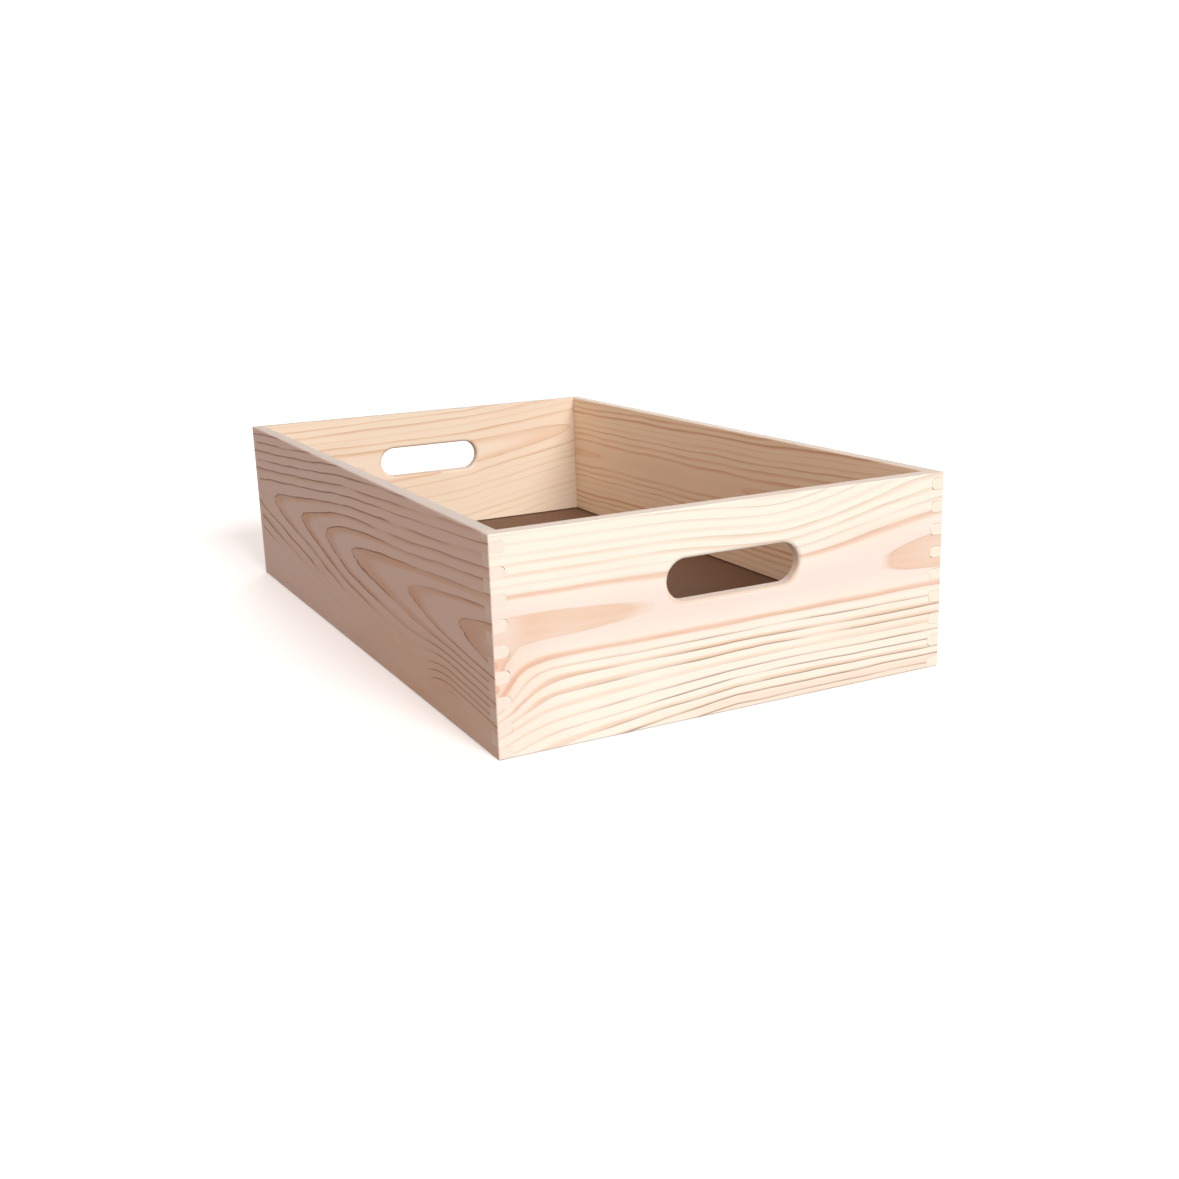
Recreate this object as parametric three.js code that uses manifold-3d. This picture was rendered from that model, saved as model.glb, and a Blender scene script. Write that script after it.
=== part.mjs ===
// Wooden apple crate: four solid boards finger-jointed into an open box, with a thin hardboard
// base held in a groove and an obround hand slot through each end panel.
//
// Millimetres, +Z up. X runs across the crate and Y along it. The origin is the middle of the
// crate's footprint, on the surface that it stands on.

import * as THREE from 'three';
import { mergeVertices } from 'three/addons/utils/BufferGeometryUtils.js';
import Module from 'manifold-3d';

// Overall size and boards
const CRATE_LENGTH = 560;
const CRATE_WIDTH = 340;
const CRATE_HEIGHT = 140;
const BOARD_THICKNESS = 10;

// Finger joint: the side boards hold the lowest finger, and the fingers alternate from there up.
// The end panels' notches are routed, so their inner corners are round, and the side boards'
// fingers are rounded over a little more to clear them.
const FINGER_HEIGHT = 8;
const NOTCH_CORNER_RADIUS = 2.6;
const FINGER_EDGE_RADIUS = 3.4;
const FINGER_ARC_STEPS = 5;

// Base panel, and the groove that holds its edges. The panel rests on the groove's lower side,
// and is a little thinner than the groove is high.
const BASE_THICKNESS = 3;
const BASE_UNDERSIDE = 21;
const GROOVE_HEIGHT = 4;
const GROOVE_DEPTH = 4;
const BASE_EDGE_CLEARANCE = 0.5;

// Hand slot: rounded ends, and a rounded-over edge on both faces of the panel
const SLOT_LENGTH = 100;
const SLOT_HEIGHT = 27;
const SLOT_CENTRE_HEIGHT = 93.5;
const SLOT_EDGE_RADIUS = 3;
const SLOT_EDGE_STEPS = 5;
const SLOT_END_SEGMENTS = 48;

// How far a cutter runs past the face that it cuts, and a finger into the board it grows from
const CUTTER_OVERRUN = 1;
const FINGER_ROOT = 2;

// Sizes that follow from those above
const INNER_LENGTH = CRATE_LENGTH - 2 * BOARD_THICKNESS;
const INNER_WIDTH = CRATE_WIDTH - 2 * BOARD_THICKNESS;
const BASE_REACH = GROOVE_DEPTH - BASE_EDGE_CLEARANCE;
const GROOVE_TOP = BASE_UNDERSIDE + GROOVE_HEIGHT;

// Turns a flat outline (x, y, thickness z) so that it runs along X and stands up along Z, and its
// thickness runs towards -Y
const STANDING_ALONG_X = new THREE.Matrix4().makeBasis(
  new THREE.Vector3(1, 0, 0),
  new THREE.Vector3(0, 0, 1),
  new THREE.Vector3(0, -1, 0),
);

const wasm = await Module();
wasm.setup();

// ---------------------------------------------------------------- solids

function solidFrom(geometry) {
  const bare = geometry.clone();
  bare.deleteAttribute('normal');
  bare.deleteAttribute('uv');
  const merged = mergeVertices(bare);
  return new wasm.Manifold(new wasm.Mesh({
    numProp: 3,
    vertProperties: new Float32Array(merged.attributes.position.array),
    triVerts: new Uint32Array(merged.index.array),
  }));
}

function geometryFrom(solid) {
  const mesh = solid.getMesh();
  const geometry = new THREE.BufferGeometry();
  geometry.setAttribute('position', new THREE.BufferAttribute(mesh.vertProperties, mesh.numProp));
  geometry.setIndex(new THREE.BufferAttribute(mesh.triVerts, 1));
  geometry.computeVertexNormals();
  return geometry;
}

function boxBetween(low, high) {
  const size = high.map((value, axis) => value - low[axis]);
  const centre = high.map((value, axis) => (value + low[axis]) / 2);
  return new THREE.BoxGeometry(...size).translate(...centre);
}

// Points of a quarter circle, from one angle (in quarter turns) to the next
function quarterArc(centreX, centreY, radius, fromQuarter, toQuarter) {
  const points = [];
  for (let i = 0; i <= FINGER_ARC_STEPS; i += 1) {
    const quarters = fromQuarter + (toQuarter - fromQuarter) * (i / FINGER_ARC_STEPS);
    const angle = quarters * (Math.PI / 2);
    points.push(new THREE.Vector2(
      centreX + radius * Math.cos(angle),
      centreY + radius * Math.sin(angle),
    ));
  }
  return points;
}

// ---------------------------------------------------------------- finger joint

// The joint's fingers from the bottom up, each with its heights and whether a side board holds it
function jointFingers() {
  const fingers = [];
  for (let low = 0; low < CRATE_HEIGHT; low += FINGER_HEIGHT) {
    const high = Math.min(low + FINGER_HEIGHT, CRATE_HEIGHT);
    fingers.push({ low, high, onSideBoard: fingers.length % 2 === 0 });
  }
  return fingers;
}

// Edge of an end panel from the bottom up: out round its own fingers, and in round the notches
function endPanelEdge() {
  const tip = CRATE_WIDTH / 2;
  const root = tip - BOARD_THICKNESS;
  const radius = NOTCH_CORNER_RADIUS;
  const edge = [];
  for (const { low, high, onSideBoard } of jointFingers()) {
    if (!onSideBoard) {
      edge.push(new THREE.Vector2(tip, low), new THREE.Vector2(tip, high));
    } else if (low === 0) {
      edge.push(new THREE.Vector2(root, low));
      edge.push(...quarterArc(root + radius, high - radius, radius, 2, 1));
    } else {
      edge.push(...quarterArc(root + radius, low + radius, radius, 3, 2));
      edge.push(...quarterArc(root + radius, high - radius, radius, 2, 1));
    }
  }
  return edge;
}

// An end panel's blank, standing along X, with its thickness centred on y = 0
function endPanelBlank() {
  const edge = endPanelEdge();
  const otherEdge = edge.map((point) => new THREE.Vector2(-point.x, point.y)).reverse();
  const outline = new THREE.Shape([...edge, ...otherEdge]);
  const blank = new THREE.ExtrudeGeometry(outline, { depth: BOARD_THICKNESS, bevelEnabled: false });
  blank.translate(0, 0, -BOARD_THICKNESS / 2);
  return solidFrom(blank.applyMatrix4(STANDING_ALONG_X));
}

// Section across a side board's finger. The two corners on the inner face are rounded over,
// apart from the lowest one, which lies on the crate's bottom edge.
function fingerSection(low, high, inward) {
  const half = BOARD_THICKNESS / 2;
  const radius = FINGER_EDGE_RADIUS;
  const outer = [new THREE.Vector2(-half, high), new THREE.Vector2(-half, low)];
  const lowCorner = low === 0
    ? [new THREE.Vector2(half, low)]
    : quarterArc(half - radius, low + radius, radius, -1, 0);
  const highCorner = quarterArc(half - radius, high - radius, radius, 0, 1);
  const points = [...outer, ...lowCorner, ...highCorner];
  return new THREE.Shape(points.map((point) => new THREE.Vector2(point.x * inward, point.y)));
}

// A side board's blank, standing along Y, with its thickness centred on x = 0
function sideBoardBlank(inward) {
  const length = BOARD_THICKNESS + FINGER_ROOT;
  let blank = solidFrom(new THREE.BoxGeometry(BOARD_THICKNESS, INNER_LENGTH, CRATE_HEIGHT)
    .translate(0, 0, CRATE_HEIGHT / 2));
  for (const { low, high, onSideBoard } of jointFingers()) {
    if (onSideBoard) {
      const section = fingerSection(low, high, inward);
      const finger = new THREE.ExtrudeGeometry(section, { depth: length, bevelEnabled: false });
      finger.applyMatrix4(STANDING_ALONG_X);
      const front = finger.clone().translate(0, -INNER_LENGTH / 2 + FINGER_ROOT, 0);
      const rear = finger.clone().translate(0, CRATE_LENGTH / 2, 0);
      blank = blank.add(solidFrom(front)).add(solidFrom(rear));
    }
  }
  return blank;
}

// ---------------------------------------------------------------- hand slot

// Half the slot's height at each distance from the panel's mid-plane: it widens over the
// rounded-over edge at both faces, then runs straight past the face.
function slotProfile() {
  const halfHeight = SLOT_HEIGHT / 2;
  const roundStart = BOARD_THICKNESS / 2 - SLOT_EDGE_RADIUS;
  const half = [];
  for (let i = 0; i <= SLOT_EDGE_STEPS; i += 1) {
    const turn = (i / SLOT_EDGE_STEPS) * (Math.PI / 2);
    const widening = SLOT_EDGE_RADIUS * (1 - Math.cos(turn));
    const across = roundStart + SLOT_EDGE_RADIUS * Math.sin(turn);
    half.push(new THREE.Vector2(halfHeight + widening, across));
  }
  const widest = halfHeight + SLOT_EDGE_RADIUS;
  half.push(new THREE.Vector2(widest, BOARD_THICKNESS / 2 + CUTTER_OVERRUN));
  const mirrored = half.map((point) => new THREE.Vector2(point.x, -point.y)).reverse();
  return [...mirrored, ...half];
}

// The cutter is two turned spools, one at each end, and a straight bar between them
function slotCutter() {
  const profile = slotProfile();
  const spoolOffset = (SLOT_LENGTH - SLOT_HEIGHT) / 2;

  const axisEnds = [profile[0], profile[profile.length - 1]].map((p) => new THREE.Vector2(0, p.y));
  const spool = new THREE.LatheGeometry([axisEnds[0], ...profile, axisEnds[1]], SLOT_END_SEGMENTS);

  const farSide = profile.map((point) => new THREE.Vector2(-point.x, point.y)).reverse();
  const barSection = new THREE.Shape([...profile, ...farSide]);
  const bar = new THREE.ExtrudeGeometry(barSection, { depth: 2 * spoolOffset, bevelEnabled: false });
  bar.translate(0, 0, -spoolOffset);
  // The section's x (height) becomes Z, its y (across the panel) becomes Y, its depth becomes X
  bar.applyMatrix4(new THREE.Matrix4().makeBasis(
    new THREE.Vector3(0, 0, -1),
    new THREE.Vector3(0, 1, 0),
    new THREE.Vector3(1, 0, 0),
  ));

  return solidFrom(bar)
    .add(solidFrom(spool.clone().translate(-spoolOffset, 0, 0)))
    .add(solidFrom(spool.clone().translate(spoolOffset, 0, 0)))
    .translate([0, 0, SLOT_CENTRE_HEIGHT]);
}

// ---------------------------------------------------------------- the crate's pieces

// The groove for the base panel, cut into the inner face, which looks along inward (1 or -1).
// Both directions get the same depth, and it stops inside the corner, so that it doesn't show.
function grooveAcross(inward) {
  const nearFace = inward * (BOARD_THICKNESS / 2 - GROOVE_DEPTH);
  const pastFace = inward * (BOARD_THICKNESS / 2 + CUTTER_OVERRUN);
  return [Math.min(nearFace, pastFace), Math.max(nearFace, pastFace)];
}

// An end panel, in a frame with its mid-plane at y = 0
function endPanelGeometry(inward) {
  const [low, high] = grooveAcross(inward);
  const reach = INNER_WIDTH / 2 + GROOVE_DEPTH;
  const groove = boxBetween([-reach, low, BASE_UNDERSIDE], [reach, high, GROOVE_TOP]);
  return geometryFrom(endPanelBlank().subtract(solidFrom(groove)).subtract(slotCutter()));
}

// A side board, in a frame with its mid-plane at x = 0
function sideBoardGeometry(inward) {
  const [low, high] = grooveAcross(inward);
  const reach = INNER_LENGTH / 2 + GROOVE_DEPTH;
  const groove = boxBetween([low, -reach, BASE_UNDERSIDE], [high, reach, GROOVE_TOP]);
  return geometryFrom(sideBoardBlank(inward).subtract(solidFrom(groove)));
}

function basePanelGeometry() {
  return new THREE.BoxGeometry(
    INNER_WIDTH + 2 * BASE_REACH,
    INNER_LENGTH + 2 * BASE_REACH,
    BASE_THICKNESS,
  );
}

function pine(color) {
  return new THREE.MeshStandardMaterial({ color, roughness: 0.55, metalness: 0 });
}

function hardboard() {
  return new THREE.MeshStandardMaterial({ color: 0x7d604e, roughness: 0.8, metalness: 0 });
}

function piece(name, geometry, material, position) {
  const mesh = new THREE.Mesh(geometry, material);
  mesh.name = name;
  mesh.position.set(...position);
  return mesh;
}

// ---------------------------------------------------------------- assembly

const endPanelY = (CRATE_LENGTH - BOARD_THICKNESS) / 2;
const sideBoardX = (CRATE_WIDTH - BOARD_THICKNESS) / 2;
const baseCentre = BASE_UNDERSIDE + BASE_THICKNESS / 2;

const crate = new THREE.Group();
crate.name = 'apple_crate';
crate.add(
  piece('end_panel_front', endPanelGeometry(1), pine(0xf7e4cf), [0, -endPanelY, 0]),
  piece('end_panel_rear', endPanelGeometry(-1), pine(0xf4dfc8), [0, endPanelY, 0]),
  piece('side_board_left', sideBoardGeometry(1), pine(0xefd7bd), [-sideBoardX, 0, 0]),
  piece('side_board_right', sideBoardGeometry(-1), pine(0xf1dac1), [sideBoardX, 0, 0]),
  piece('base_panel', basePanelGeometry(), hardboard(), [0, 0, baseCentre]),
);

export default crate;
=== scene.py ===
"""Wooden apple crate: four finger-jointed pine boards round a hardboard base panel.

Every piece keeps the shape of its CAD node. Here the boards' edges are eased, as sanding leaves
them, and the wood gets its figure: one virtual log runs through each board, so the rings that a
face shows carry on round its edges, over its end grain and out on its other face.
"""

import math
import random
from collections import namedtuple

import bmesh
import bpy
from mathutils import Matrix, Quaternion, Vector


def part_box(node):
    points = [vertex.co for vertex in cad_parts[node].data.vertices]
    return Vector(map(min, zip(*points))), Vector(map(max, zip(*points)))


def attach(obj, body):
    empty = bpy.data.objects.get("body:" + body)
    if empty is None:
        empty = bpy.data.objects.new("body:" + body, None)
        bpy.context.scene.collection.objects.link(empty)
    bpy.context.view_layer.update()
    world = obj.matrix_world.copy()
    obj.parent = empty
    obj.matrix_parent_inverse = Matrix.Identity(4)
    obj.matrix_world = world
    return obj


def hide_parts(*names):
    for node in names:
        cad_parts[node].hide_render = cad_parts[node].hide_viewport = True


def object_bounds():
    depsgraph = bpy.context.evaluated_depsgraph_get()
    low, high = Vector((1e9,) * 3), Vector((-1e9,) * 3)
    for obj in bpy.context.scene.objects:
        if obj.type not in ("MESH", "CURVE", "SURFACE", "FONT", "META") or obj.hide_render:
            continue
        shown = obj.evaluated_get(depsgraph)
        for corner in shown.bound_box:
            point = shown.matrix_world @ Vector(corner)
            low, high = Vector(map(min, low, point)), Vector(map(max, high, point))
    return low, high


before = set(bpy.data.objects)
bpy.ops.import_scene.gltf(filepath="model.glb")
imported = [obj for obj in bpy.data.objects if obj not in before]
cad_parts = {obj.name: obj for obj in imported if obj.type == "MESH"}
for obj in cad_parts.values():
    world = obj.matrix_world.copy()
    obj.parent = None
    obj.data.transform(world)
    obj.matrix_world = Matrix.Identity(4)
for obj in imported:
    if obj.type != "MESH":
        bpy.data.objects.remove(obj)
cad_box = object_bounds()

MM = 0.001

# ---------------------------------------------------------------- sizes, from the frame

CRATE_LOW = Vector(cad_box[0])
CRATE_HIGH = Vector(cad_box[1])
LENGTH = CRATE_HIGH.y - CRATE_LOW.y
WIDTH = CRATE_HIGH.x - CRATE_LOW.x
HEIGHT = CRATE_HIGH.z
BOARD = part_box("end_panel_front")[1].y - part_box("end_panel_front")[0].y
HALF_WIDTH = WIDTH / 2
HALF_LENGTH = LENGTH / 2

# How far each kind of edge is eased: the crate's outer corners, its rim inside, the joints on the
# left, where they are tight, those on the right, where they are a little open, and the base
SANDED_EDGE = 0.9 * MM
RIM_EDGE = 0.7 * MM
TIGHT_JOINT_EDGE = 0.12 * MM
LOOSE_JOINT_EDGE = 0.4 * MM
PANEL_EDGE = 0.3 * MM
EDGE_SEGMENTS = 3
# Edges that turn less than this belong to a round, and those that turn less than FLAT to a plane
SHARPEST_SMOOTH = math.radians(32)
FLAT = math.radians(1)
NEAR = 0.02 * MM

# The side boards' fingers: their height, the round of their inner corners in the CAD, and the
# tightest and loosest that a finished joint has instead, with glue in what is left of the gap
FINGER = 8 * MM
FINGER_ROUND = 3.4 * MM
TIGHTEST_ROUND = 2.65 * MM
LOOSEST_ROUND = 3.3 * MM


# ---------------------------------------------------------------- meshes

def whole_faces(node):
    """A copy of a CAD node's mesh, with its coplanar triangles joined into whole faces."""
    mesh = bmesh.new()
    mesh.from_mesh(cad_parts[node].data)
    bmesh.ops.remove_doubles(mesh, verts=mesh.verts, dist=NEAR)
    bmesh.ops.dissolve_limit(mesh, angle_limit=FLAT, verts=mesh.verts, edges=mesh.edges)
    return mesh


def cut_across(mesh, axis, place):
    """Adds the edges where a plane crosses the mesh, so that they can be eased by stretches."""
    normal = Vector((0, 0, 0))
    normal[axis] = 1
    everything = mesh.verts[:] + mesh.edges[:] + mesh.faces[:]
    bmesh.ops.bisect_plane(
        mesh, geom=everything, dist=NEAR, plane_co=normal * place, plane_no=normal)


def lies_on(edge, axis, place):
    """Whether a whole edge lies at that place on an axis, on either side of the crate."""
    return all(abs(abs(vert.co[axis]) - place) < NEAR for vert in edge.verts)


def easing(edge):
    """How far sanding and handling have eased one edge of a board."""
    if len(edge.link_faces) < 2 or edge.calc_face_angle_signed() < SHARPEST_SMOOTH:
        return 0
    on_side = lies_on(edge, 0, HALF_WIDTH)
    on_end = lies_on(edge, 1, HALF_LENGTH)
    on_rim = lies_on(edge, 2, HEIGHT) or lies_on(edge, 2, 0)
    if (on_side and on_end) or (on_rim and (on_side or on_end)):
        return SANDED_EDGE
    inside = all(
        abs(vert.co.x) < HALF_WIDTH - BOARD + NEAR and abs(vert.co.y) < HALF_LENGTH - BOARD + NEAR
        for vert in edge.verts
    )
    if on_rim and inside:
        return RIM_EDGE
    return LOOSE_JOINT_EDGE if edge.verts[0].co.x > 0 else TIGHT_JOINT_EDGE


def eased_piece(name, mesh, material, ease, widest):
    """Makes a piece from a mesh, with each edge eased by what ease says, up to the widest."""
    weights = mesh.edges.layers.float.new("bevel_weight_edge")
    for edge in mesh.edges:
        edge[weights] = ease(edge) / widest
        edge.smooth = edge.calc_face_angle(0) < SHARPEST_SMOOTH
    for face in mesh.faces:
        face.smooth = True
    data = bpy.data.meshes.new(name)
    mesh.to_mesh(data)
    mesh.free()
    data.materials.append(material)

    piece = bpy.data.objects.new(name, data)
    bpy.context.collection.objects.link(piece)
    bevel = piece.modifiers.new("eased edges", "BEVEL")
    bevel.limit_method = "WEIGHT"
    bevel.width = widest
    bevel.segments = EDGE_SEGMENTS
    bevel.use_clamp_overlap = False
    bevel.harden_normals = False
    normals = piece.modifiers.new("flat faces stay flat", "WEIGHTED_NORMAL")
    normals.keep_sharp = True
    return piece


def fill_joint(mesh, seed):
    """Brings the round corners of a side board's fingers closer to the notches round them.

    Most corners end up tight and a few stay open, as drawn from the seed."""
    draw = random.Random(seed)
    corners = {}
    root = HALF_WIDTH - BOARD
    for vert in mesh.verts:
        side = math.copysign(1, vert.co.x)
        level = FINGER * round(vert.co.z / FINGER)
        upward = 1 if round(vert.co.z / FINGER) % 2 == 0 else -1
        across = abs(vert.co.x) - root - FINGER_ROUND
        rise = vert.co.z - level - upward * FINGER_ROUND
        in_joint = abs(vert.co.y) > HALF_LENGTH - BOARD - NEAR
        if in_joint and abs(math.hypot(across, rise) - FINGER_ROUND) < NEAR:
            corner = (vert.co.y > 0, round(vert.co.z / FINGER))
            if corner not in corners:
                loose = draw.random() ** 3
                corners[corner] = TIGHTEST_ROUND + (LOOSEST_ROUND - TIGHTEST_ROUND) * loose
            radius = corners[corner]
            vert.co.x = side * (root + radius + across / FINGER_ROUND * radius)
            vert.co.z = level + upward * radius + rise / FINGER_ROUND * radius


def board(node, material):
    """One of the four boards. Its edges are cut where the joints begin, to be eased by parts."""
    mesh = whole_faces(node)
    if node.startswith("side"):
        fill_joint(mesh, node)
    for side in (-1, 1):
        cut_across(mesh, 0, side * (HALF_WIDTH - BOARD))
        cut_across(mesh, 1, side * (HALF_LENGTH - BOARD))
    mesh.normal_update()
    piece = eased_piece(node + "_board", mesh, material, easing, SANDED_EDGE)
    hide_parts(node)
    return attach(piece, "root")


def base(node, material):
    """The sheet that is the crate's floor."""
    mesh = whole_faces(node)
    piece = eased_piece(node + "_sheet", mesh, material, lambda edge: PANEL_EDGE, PANEL_EDGE)
    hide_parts(node)
    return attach(piece, "root")


# ---------------------------------------------------------------- fields: sums of shader nodes

class Field:
    """A number worked out at each point of a surface. Arithmetic on Fields adds Math nodes."""

    def __init__(self, socket):
        self.socket = socket

    def tree(self):
        return self.socket.id_data

    def __add__(self, other):
        return calculate("ADD", self, other)

    def __radd__(self, other):
        return calculate("ADD", other, self)

    def __sub__(self, other):
        return calculate("SUBTRACT", self, other)

    def __rsub__(self, other):
        return calculate("SUBTRACT", other, self)

    def __mul__(self, other):
        return calculate("MULTIPLY", self, other)

    def __rmul__(self, other):
        return calculate("MULTIPLY", other, self)

    def __truediv__(self, other):
        return calculate("DIVIDE", self, other)

    def __pow__(self, other):
        return calculate("POWER", self, other)


def connect(value, socket):
    """Links a Field to a node's input, or sets the input to a plain value."""
    if isinstance(value, Field):
        value.tree().links.new(value.socket, socket)
    else:
        socket.default_value = value


def tree_of(values):
    """The node tree of the first Field among some values."""
    return next(value.tree() for value in values if isinstance(value, Field))


def calculate(operation, *values):
    """Adds a Math node for the values, each a Field or a number."""
    node = tree_of(values).nodes.new("ShaderNodeMath")
    node.operation = operation
    for value, socket in zip(values, node.inputs):
        connect(value, socket)
    return Field(node.outputs[0])


def smooth(low, high, value):
    """0 up to low and 1 from high on, with a smooth rise between; it falls where high is less."""
    node = value.tree().nodes.new("ShaderNodeMapRange")
    node.interpolation_type = "SMOOTHSTEP"
    connect(value, node.inputs["Value"])
    connect(low, node.inputs["From Min"])
    connect(high, node.inputs["From Max"])
    return Field(node.outputs[0])


def bell(value):
    """1 where the value is 0, falling off on both sides."""
    return calculate("EXPONENT", value * value * -1)


def floor(value):
    return calculate("FLOOR", value)


def least(a, b):
    return calculate("MINIMUM", a, b)


def most(a, b):
    return calculate("MAXIMUM", a, b)


def size_of(value):
    return calculate("ABSOLUTE", value)


def point(x, y, z):
    """Three Fields or numbers as one vector."""
    node = tree_of((x, y, z)).nodes.new("ShaderNodeCombineXYZ")
    for value, socket in zip((x, y, z), node.inputs):
        connect(value, socket)
    return Field(node.outputs[0])


def noise(x, y, z, detail=2, roughness=0.5):
    """Noise from -1 to 1, about one unit across in each direction."""
    node = tree_of((x, y, z)).nodes.new("ShaderNodeTexNoise")
    connect(point(x, y, z), node.inputs["Vector"])
    node.inputs["Scale"].default_value = 1
    node.inputs["Detail"].default_value = detail
    node.inputs["Roughness"].default_value = roughness
    return (Field(node.outputs[0]) - 0.5) * 2


def chance(value):
    """A random number from 0 to 1 for each value."""
    node = value.tree().nodes.new("ShaderNodeTexWhiteNoise")
    node.noise_dimensions = "1D"
    connect(value, node.inputs["W"])
    return Field(node.outputs["Value"])


def linear(colour):
    """An sRGB colour, in 255ths, as a shader takes it: linear, with an alpha of 1."""
    channels = [c / 255 for c in colour]
    return [c / 12.92 if c < 0.04045 else ((c + 0.055) / 1.055) ** 2.4 for c in channels] + [1]


def blend(first, second, factor):
    """Mixes two colours, each a Field or three 255ths."""
    node = factor.tree().nodes.new("ShaderNodeMix")
    node.data_type = "RGBA"
    connect(factor, node.inputs["Factor"])
    colours = [socket for socket in node.inputs if socket.type == "RGBA"]
    for value, socket in zip((first, second), colours):
        connect(value if isinstance(value, Field) else linear(value), socket)
    return Field(next(socket for socket in node.outputs if socket.type == "RGBA"))


def shade(colour, amount):
    """A colour made lighter or darker by an amount that is 1 where it stays as it is."""
    node = amount.tree().nodes.new("ShaderNodeVectorMath")
    node.operation = "SCALE"
    connect(colour, node.inputs[0])
    connect(amount, node.inputs["Scale"])
    return Field(node.outputs[0])


# ---------------------------------------------------------------- materials

def new_material(name):
    material = bpy.data.materials.new(name)
    material.use_nodes = True
    return material, material.node_tree.nodes["Principled BSDF"]


def coordinates(material, kind):
    """The x, y and z of one kind of coordinate, Object or Normal, at a point of the surface."""
    tree = material.node_tree
    source = tree.nodes.new("ShaderNodeTexCoord")
    split = tree.nodes.new("ShaderNodeSeparateXYZ")
    tree.links.new(source.outputs[kind], split.inputs[0])
    return [Field(socket) for socket in split.outputs]


def place_in_millimetres(material):
    """Where a point is in the crate's frame."""
    return [axis / MM for axis in coordinates(material, "Object")]


def facing_of(material):
    """How far a point's face looks along each axis, either way: 0 for not at all, 1 for fully."""
    return [size_of(axis) for axis in coordinates(material, "Normal")]


def finish_material(shader, colour, roughness, height, depth):
    """Links a material's fields to its shader. Height is in units of depth, in metres."""
    tree = colour.tree()
    connect(colour, shader.inputs["Base Color"])
    connect(roughness, shader.inputs["Roughness"])
    bump = tree.nodes.new("ShaderNodeBump")
    connect(height, bump.inputs["Height"])
    bump.inputs["Distance"].default_value = depth
    tree.links.new(bump.outputs["Normal"], shader.inputs["Normal"])


# A board's colours: early wood, the wood where the rings lie flat, late wood, one strong ring and
# any stain, the dark line that ends a ring, and end grain. Line_width is that line's, in
# millimetres, and rim says how much painted shade darkens the upward faces of the rim.
Wood = namedtuple("Wood", "early flat late strong line end line_width rim")

FRONT_WOOD = Wood(
    early=(239, 233, 219), flat=(234, 219, 210), late=(227, 194, 168), strong=(226, 183, 158),
    line=(132, 108, 88), end=(231, 210, 194), line_width=1.3, rim=0.18)
REAR_WOOD = Wood(
    early=(226, 209, 187), flat=(229, 211, 192), late=(217, 184, 153), strong=(217, 180, 148),
    line=(150, 117, 93), end=(231, 210, 194), line_width=1.3, rim=0.18)
# The left board is darker and pinker than the others: partly its own tone, partly painted shade,
# the mauve of its shaded outer face.
LEFT_WOOD = Wood(
    early=(229, 206, 193), flat=(226, 204, 193), late=(217, 175, 144), strong=(226, 188, 155),
    line=(130, 78, 60), end=(236, 226, 213), line_width=1.5, rim=0.3)
RIGHT_WOOD = Wood(
    early=(247, 227, 199), flat=(244, 219, 191), late=(231, 191, 155), strong=(222, 178, 142),
    line=(170, 128, 98), end=(237, 228, 213), line_width=1.6, rim=0.25)
RESIN = (190, 152, 116)

# A face that looks this far along an axis begins to look that way, and this far fully does
TURNED = (0.6, 0.8)
# The usual distance between rings, in millimetres, which sets the width of their lines
RING_GAP = 6
# Gloss and relief of planed wood and of hardboard
WOOD_IOR = 1.45
DULL = 0.3
WOOD_RELIEF = 0.03 * MM
HARDBOARD_RELIEF = 0.06 * MM


def rings_round(across, pith_depth, depth, spacing, bluntness=4):
    """Ring number in a flat-sawn board, and how closely the rings follow each other on its face.

    Across is the distance from the line where the rings lie flat to the face, and pith_depth
    the distance down to the pith, in millimetres as are all of them. A blunter figure has a wider
    flat part."""
    level = pith_depth - depth
    reach = (size_of(across) ** bluntness + level ** bluntness) ** (1 / bluntness)
    squareness = least((size_of(across) / reach) ** (bluntness - 1), 1)
    return (reach - pith_depth) / spacing, squareness


def end_panel_front_rings(u, v, depth):
    """U runs from the left end, v down from the rim, and depth in from the outer face.

    The rings part into a tongue at each end, fan out at the lower left, and bend round a knot
    just past the left end."""
    axis = 60 + 2 * smooth(110, 215, u) - 8 * smooth(200, 350, u)
    above = smooth(1, -1, v - axis)
    spacing = 6.0 + above * 2.2 * smooth(190, 365, u)
    pith = 17 - 2.5 * smooth(120, 215, u) + 7.5 * smooth(200, 350, u)
    number, square = rings_round(v - axis, pith, depth, spacing)
    tongues = 0.05 * smooth(122, 20, u) + 0.1 * smooth(283, 345, u)
    middle = 0.03 * smooth(118, 150, u) * smooth(290, 240, u)
    fan = 0.045 * most(v - 90, 0) * most(170 - u, 0) / 125
    knot = 3.0 * bell((u + 8) / 26) * bell((v - 100) / 30) * smooth(62, 92, v)
    return number + 0.002 + middle - tongues - fan - knot, square


def side_board_left_rings(u, v, depth):
    """U runs from the rear end, v down from the rim, and depth in from the outer face.

    The rings make arches that point to the rear, and crowd together low at the front end."""
    axis = 58 + 0.016 * u
    across = v - axis
    spacing = 7.0 + 2.2 * smooth(-4, 14, across)
    crowded = most(across - 15, 0) * smooth(400, 490, u) * 0.9
    number, square = rings_round(across + crowded, 18, depth, spacing, bluntness=2)
    ripple = 0.07 * noise(u / 15, v / 3, depth / 4)
    arches = (u - 62) / 88.6 + 0.45 * bell((u - 290) / 85)
    return number - arches + ripple * smooth(30, 0, size_of(across)), square


def end_panel_rear_rings(u, v, depth):
    """U runs from the left end, v down from the rim, and depth in from the outer face.

    The rings rise towards the right, more so past the slot."""
    axis = 46 - 0.05 * (u - 207) - 0.1 * most(u - 207, 0)
    across = v - axis + 3 * noise(u / 130, v / 60, depth / 60)
    number, square = rings_round(across, 25, depth, 6.5, bluntness=2.4)
    return number + (u - 207) / 222, square


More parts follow.
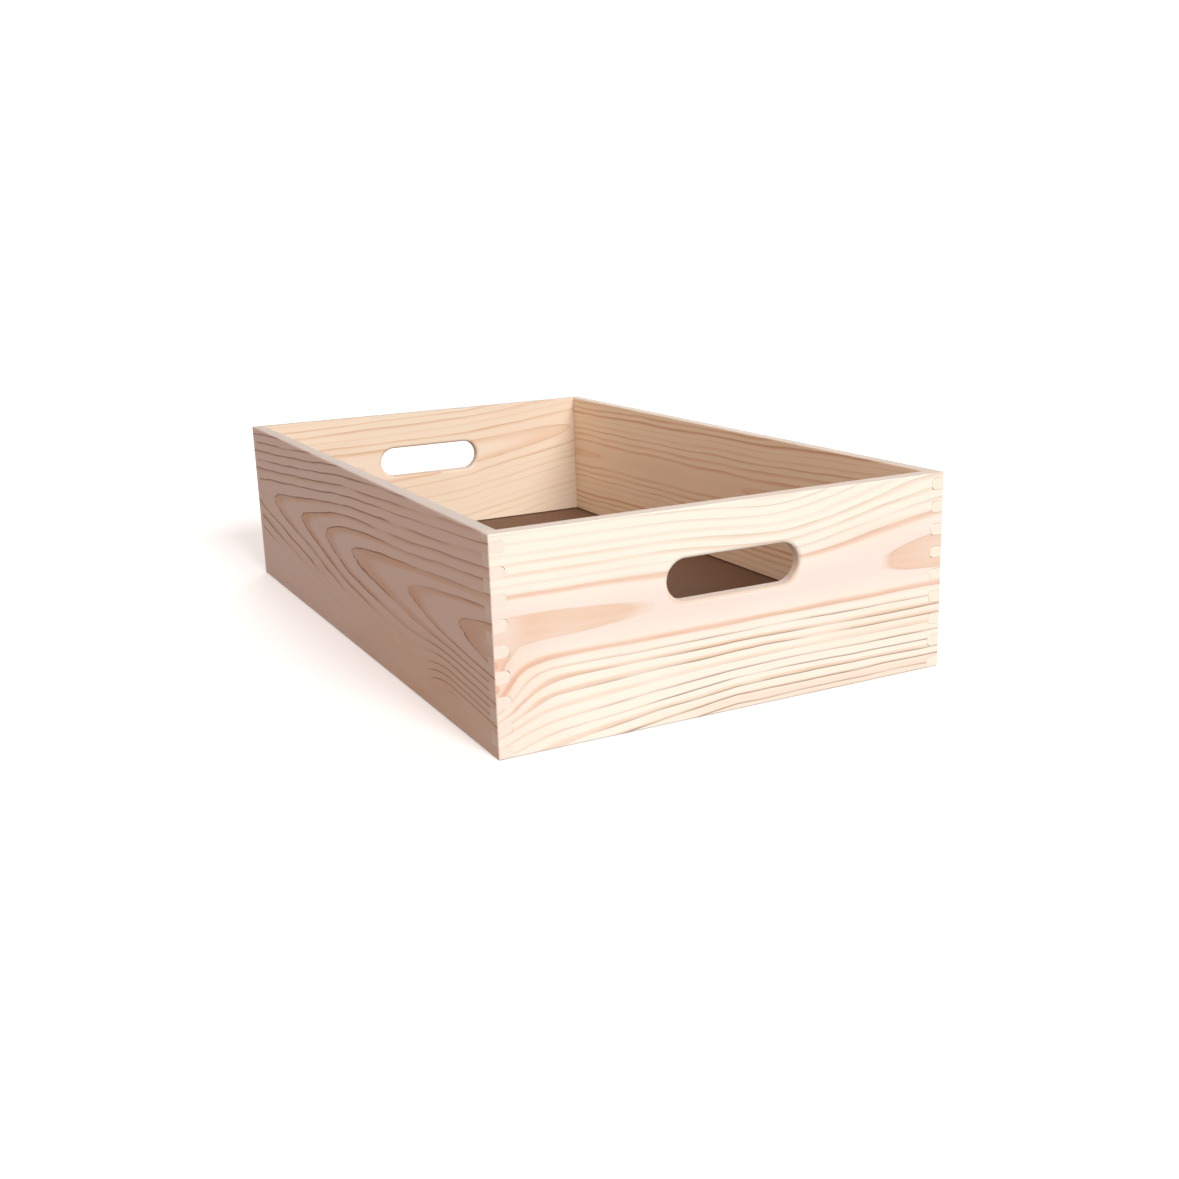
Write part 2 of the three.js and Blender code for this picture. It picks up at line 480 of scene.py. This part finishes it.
def side_board_right_rings(u, v, depth):
    """U runs from the rear end, v down from the rim, and depth in from the outer face.

    The flat part of the figure widens towards the front end."""
    across = v - 55 + 0.02 * u + 3 * noise(u / 90, v / 30, depth / 30)
    number, square = rings_round(across, 20, depth, 5.4, bluntness=2.6)
    return number + 1.88 - 0.06 * smooth(110, 30, u) - 0.9 * smooth(300, 520, u), square


def pine(name, wood, rings, axes, lengthwise, masks, evenness, marked, seed):
    """One board's wood.

    Rings gives the ring number, and axes the three distances that it needs: u along the board,
    v down from the rim and t into the wood. Lengthwise is the axis that the board runs along.
    Masks say how much the ring lines and the late wood show and where the wood is stained,
    evenness how alike the rings are, and marked which one is strong."""
    material, shader = new_material(name)
    along, height, depth = axes
    line_mask, band_mask, stain = masks
    place = place_in_millimetres(material)
    facing = facing_of(material)
    u = along(place)
    v = height(place)
    t = depth(place)
    end_grain = smooth(*TURNED, facing[lengthwise])
    on_rim = smooth(*TURNED, facing[2])

    # Which ring a point is in, and how far through it, with a slow and a quick waver of the rings
    number, square = rings(u, v, t)
    flat = 1 - square
    steepness = square / RING_GAP + 0.012
    wander = noise(u / 110 + seed, v / 17, t / 17, detail=1)
    waver = noise(u / 34, v / 6 + seed, t / 6, detail=1)
    number = number + (0.28 * wander + 0.08 * waver) * square
    ring = floor(number)
    growth = number - ring

    # Fibres, streaks and broad clouds of colour, all long in the board's direction
    fibre = noise(u / 22, v / 0.45, t / 0.45 + seed, detail=3, roughness=0.6)
    streak = noise(u / 60, v / 2.2 + seed, t / 2.2, detail=2)
    cloud = noise(u / 140, v / 40, t / 40 + seed, detail=1)

    # The band of late wood in each ring, and the dark line that ends it
    strength = evenness + (1 - evenness) * chance(ring + seed)
    fade = smooth(-0.6, 0.4, noise(u / 70, v / 9 + seed, t / 9, detail=1))
    onset = 0.4 + 0.3 * chance(ring + seed + 0.5)
    late = smooth(onset, onset + 0.3, growth + 0.05 * streak)
    border = flat * 0.7 * smooth(0.99, 1, growth) + flat * 0.25 * smooth(0.97, 0.9, growth)
    late = late * (1 - border) * (1 - 0.6 * square * smooth(0.9, 1, growth))
    band = late * (0.35 + 0.65 * strength) * (0.5 + 0.5 * fade) * band_mask(u, v)
    band = band * (1 - 0.75 * end_grain) * (1 - 0.6 * on_rim)
    strong = bell((number - marked - 0.84) / 0.22) * square * (1 - 0.75 * end_grain)
    edge = smooth(1 - wood.line_width * steepness, 1, growth) * smooth(1, 0.985, growth)
    line = edge * least(smooth(0.1, 0.6, strength) * fade * line_mask(u, v), 1)
    line = line * (1 - 0.8 * end_grain) * (1 - 0.7 * on_rim)

    colour = blend(wood.early, wood.flat, flat * 0.9)
    colour = blend(colour, wood.late, 0.2 * smooth(0, 0.6, cloud))
    colour = blend(colour, wood.late, least(band, 1))
    colour = blend(colour, wood.strong, least(strong * 0.85 + stain(u, v), 1))
    colour = blend(colour, wood.line, line * 0.85)
    canal = smooth(0.42, 0.6, noise(u / 9, v / 0.5, t / 0.5, detail=1)) * smooth(0.4, 0.8, growth)
    colour = blend(colour, RESIN, canal * 0.2)
    pore = noise(v / 0.35, t / 0.35, seed, detail=2)
    colour = blend(colour, wood.end, most(end_grain * (0.8 + 0.2 * pore), 0.7 * on_rim))
    # Faces that look upwards, the rims, are darkened by wood.rim: painted shade.
    colour = shade(colour, 1 + 0.012 * fibre + 0.025 * streak - wood.rim * on_rim)

    roughness = 0.52 + 0.05 * fibre - 0.08 * line + 0.12 * end_grain
    height_field = 0.3 * fibre + 0.8 * line + 0.3 * band - 0.5 * canal + 0.5 * end_grain * pore
    finish_material(shader, colour, roughness, height_field, WOOD_RELIEF)
    shader.inputs["IOR"].default_value = WOOD_IOR
    shader.inputs["Specular IOR Level"].default_value = DULL
    return material


# ---------------------------------------------------------------- masks for each board's figure

def front_lines(u, v):
    """The rings above the hand slot have soft edges, and so have those near the pin knot."""
    arcs = 0.3 * bell(u / 40) * bell((v - 88) / 22)
    return (0.3 + 1.5 * smooth(82, 87, v)) * smooth(20, 150, u) + arcs


def front_bands(u, v):
    """The wood is palest above the slot. The left tongue fades before it reaches the joint."""
    tongue = bell((v - 60) / 12) * smooth(26, 8, u)
    return (1 - 0.8 * tongue) * (0.6 + 0.4 * smooth(30, 50, v))


def pin_knot(u, v, height):
    """A small knot at the front panel's left edge, with the haze of colour round it."""
    away = calculate("SQRT", u ** 2 + (v - height) ** 2)
    return smooth(3.2, 2, away) + 0.2 * smooth(16, 4, away) + 0.14 * smooth(60, 10, away)


def front_stain(u, v):
    """Two knots, and a tan streak near the bottom edge."""
    low = 0.35 * bell((v - 135) / 6) * smooth(60, 200, u)
    return low + pin_knot(u, v, 80) + pin_knot(u, v, 95)


def left_stain(u, v):
    """The front end is a little tawny, and its lower half more so, in blotches."""
    low = bell((u - 450) / 150) * smooth(84, 108, v)
    blotches = smooth(-0.1, 0.5, noise(u / 45, v / 12, 2, detail=2))
    return 0.12 * smooth(200, 480, u) + low * (0.3 + 0.35 * blotches)


def rear_lines(u, v):
    """Faint lines, fainter still in the lower half."""
    return 0.45 - 0.25 * smooth(58, 72, v)


def rear_bands(u, v):
    """The lower half is plainer."""
    return 1 - 0.5 * smooth(58, 72, v)


def left_lines(u, v):
    """The lower half is plain, apart from the crowded rings at the front end."""
    crowd = smooth(430, 530, u) * smooth(120, 117, v) * smooth(80, 90, v)
    return 3 * smooth(104, 84, v) * (1 - 0.75 * smooth(220, 420, u)) + 6 * crowd


def left_bands(u, v):
    """The late wood shows best in the arches."""
    return 0.2 + (0.35 + 0.65 * smooth(30, 48, v)) * smooth(105, 80, v)


# ---------------------------------------------------------------- the base's material

# The wires of the hardboard's press, in millimetres from each to the next
WIRE_GAP = 1.5
HARDBOARD_DARK = (110, 82, 63)
HARDBOARD_LIGHT = (136, 104, 81)
HARDBOARD_SPECK = (86, 64, 51)


def hardboard():
    """Pressed brown fibre: smooth on top, and with the press's wire mesh in its underside."""
    material, shader = new_material("brown_hardboard")
    x, y, z = place_in_millimetres(material)
    low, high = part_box("base_panel")
    middle = (low.z + high.z) / 2 / MM
    underside = smooth(middle + 0.2, middle - 0.2, z)
    mottle = noise(x / 26, y / 26, z, detail=4, roughness=0.6)
    chips = noise(x / 1.6, y / 2.4, z, detail=4, roughness=0.7)
    specks = smooth(0.3, 0.55, noise(x / 0.9, y / 1.3, z, detail=2))
    turns = 2 * math.pi / WIRE_GAP
    mesh = calculate("SINE", x * turns) * calculate("SINE", y * turns)
    colour = blend(HARDBOARD_DARK, HARDBOARD_LIGHT, 0.5 + 0.5 * chips)
    colour = blend(colour, HARDBOARD_SPECK, specks * 0.5)
    colour = shade(colour, 1 + 0.08 * mottle + 0.12 * underside * mesh)
    roughness = 0.72 + 0.1 * chips
    height = chips + 0.5 * mottle + 3 * underside * mesh
    finish_material(shader, colour, roughness, height, HARDBOARD_RELIEF)
    shader.inputs["Specular IOR Level"].default_value = DULL
    return material


# ---------------------------------------------------------------- boards

# How far a place in the crate's frame is from each of the crate's sides, in millimetres

def from_left(place):
    return place[0] + HALF_WIDTH / MM


def from_rear(place):
    return HALF_LENGTH / MM - place[1]


def from_rim(place):
    return HEIGHT / MM - place[2]


def from_front(place):
    return place[1] + HALF_LENGTH / MM


def from_right(place):
    return HALF_WIDTH / MM - place[0]


def constant(value):
    """A mask that is the same everywhere."""
    return lambda u, v: value


board("end_panel_front", pine(
    "pine_front", FRONT_WOOD, end_panel_front_rings, (from_left, from_rim, from_front), 0,
    (front_lines, front_bands, front_stain), evenness=0.2, marked=0, seed=3.7))
board("end_panel_rear", pine(
    "pine_rear", REAR_WOOD, end_panel_rear_rings, (from_left, from_rim, from_rear), 0,
    (rear_lines, rear_bands, constant(0)), evenness=0.1, marked=-2, seed=11.2))
board("side_board_left", pine(
    "pine_left", LEFT_WOOD, side_board_left_rings, (from_rear, from_rim, from_left), 1,
    (left_lines, left_bands, left_stain), evenness=0.6, marked=-9, seed=23.9))
board("side_board_right", pine(
    "pine_right", RIGHT_WOOD, side_board_right_rings, (from_rear, from_rim, from_right), 1,
    (constant(0.35), constant(1), constant(0)), evenness=0.1, marked=5, seed=31.4))
base("base_panel", hardboard())


# ---------------------------------------------------------------- stage, light and camera

WHITE = (255, 255, 255)
# The floor, in metres, just under the crate's bottom edges
FLOOR_SIZE = 80
FLOOR_LEVEL = -0.1 * MM
# The colour that it throws back on the crate, and how much it glows to the eye
FLOOR_BOUNCE = (150, 148, 146)
FLOOR_GLOW = 0.25
# The room's light is a little warm, and what comes from the left more so
FILL_TINT = (255, 238, 230)
LEFT_TINT = (255, 228, 218)

# Where the camera is, in degrees round to the left of the front, up and turned on its axis, how
# far off, and what it aims at, from the middle of the crate, in millimetres
CAMERA_AZIMUTH = 26.71
CAMERA_ELEVATION = 14.92
CAMERA_ROLL = -1.89
CAMERA_DISTANCE = 1118.4
CAMERA_AIM = (22.7, -25.8, -48.3)
CAMERA_LENS = 41.515
CAMERA_SENSOR = 36
FARTHEST_SEEN = 200


def floor_plane():
    """A white floor that throws less light back up on the crate than white paper would."""
    bpy.ops.mesh.primitive_plane_add(size=FLOOR_SIZE, location=(0, 0, FLOOR_LEVEL))
    plane = bpy.context.active_object
    plane.name = "studio_floor"
    material = bpy.data.materials.new("studio_floor")
    material.use_nodes = True
    tree = material.node_tree
    shader = tree.nodes["Principled BSDF"]
    shader.inputs["Roughness"].default_value = 0.9
    shader.inputs["Specular IOR Level"].default_value = 0
    path = tree.nodes.new("ShaderNodeLightPath")
    seen = Field(path.outputs["Is Camera Ray"])
    connect(blend(FLOOR_BOUNCE, WHITE, seen), shader.inputs["Base Color"])
    shader.inputs["Emission Color"].default_value = (1, 1, 1, 1)
    connect(seen * FLOOR_GLOW, shader.inputs["Emission Strength"])
    plane.data.materials.append(material)


def sunlight(name, azimuth, elevation, softness, strength, tint=WHITE):
    """Soft light from far away. Azimuth 0 is in front of the crate, and 90 is to its right."""
    data = bpy.data.lights.new(name, "SUN")
    data.angle = math.radians(softness)
    data.energy = strength * math.pi
    data.color = linear(tint)[:3]
    light = bpy.data.objects.new(name, data)
    turn = math.radians(azimuth)
    rise = math.radians(elevation)
    towards = Vector((
        math.sin(turn) * math.cos(rise),
        -math.cos(turn) * math.cos(rise),
        math.sin(rise),
    ))
    light.rotation_mode = "QUATERNION"
    light.rotation_quaternion = towards.to_track_quat("Z", "Y")
    bpy.context.collection.objects.link(light)


def surroundings(fill, seen):
    """An even pale room: its light, and how bright it looks."""
    world = bpy.data.worlds.new("studio")
    world.use_nodes = True
    tree = world.node_tree
    background = tree.nodes["Background"]
    path = tree.nodes.new("ShaderNodeLightPath")
    direct = Field(path.outputs["Is Camera Ray"])
    connect(blend(FILL_TINT, WHITE, direct), background.inputs["Color"])
    connect(fill + direct * (seen - fill), background.inputs["Strength"])
    bpy.context.scene.world = world


def camera():
    """The camera stands in front of the crate, to its left, and looks a little down."""
    azimuth = math.radians(CAMERA_AZIMUTH)
    elevation = math.radians(CAMERA_ELEVATION)
    aim = Vector((0, 0, HEIGHT / 2)) + Vector(CAMERA_AIM) * MM
    forward = Vector((
        math.sin(azimuth) * math.cos(elevation),
        math.cos(azimuth) * math.cos(elevation),
        -math.sin(elevation),
    ))
    data = bpy.data.cameras.new("camera")
    data.lens = CAMERA_LENS
    data.sensor_width = CAMERA_SENSOR
    data.clip_end = FARTHEST_SEEN
    view = bpy.data.objects.new("camera", data)
    view.location = aim - forward * CAMERA_DISTANCE * MM
    view.rotation_mode = "QUATERNION"
    view.rotation_quaternion = (
        forward.to_track_quat("-Z", "Y") @ Quaternion((0, 0, 1), math.radians(CAMERA_ROLL))
    )
    bpy.context.collection.objects.link(view)
    bpy.context.scene.camera = view


floor_plane()
sunlight("key", azimuth=4, elevation=26, softness=24, strength=0.94)
sunlight("rear fill", azimuth=150, elevation=28, softness=40, strength=0.28)
sunlight("left fill", azimuth=-90, elevation=20, softness=60, strength=0.22, tint=LEFT_TINT)
surroundings(fill=0.39, seen=1.0)
camera()
bpy.context.scene.view_settings.view_transform = "Standard"
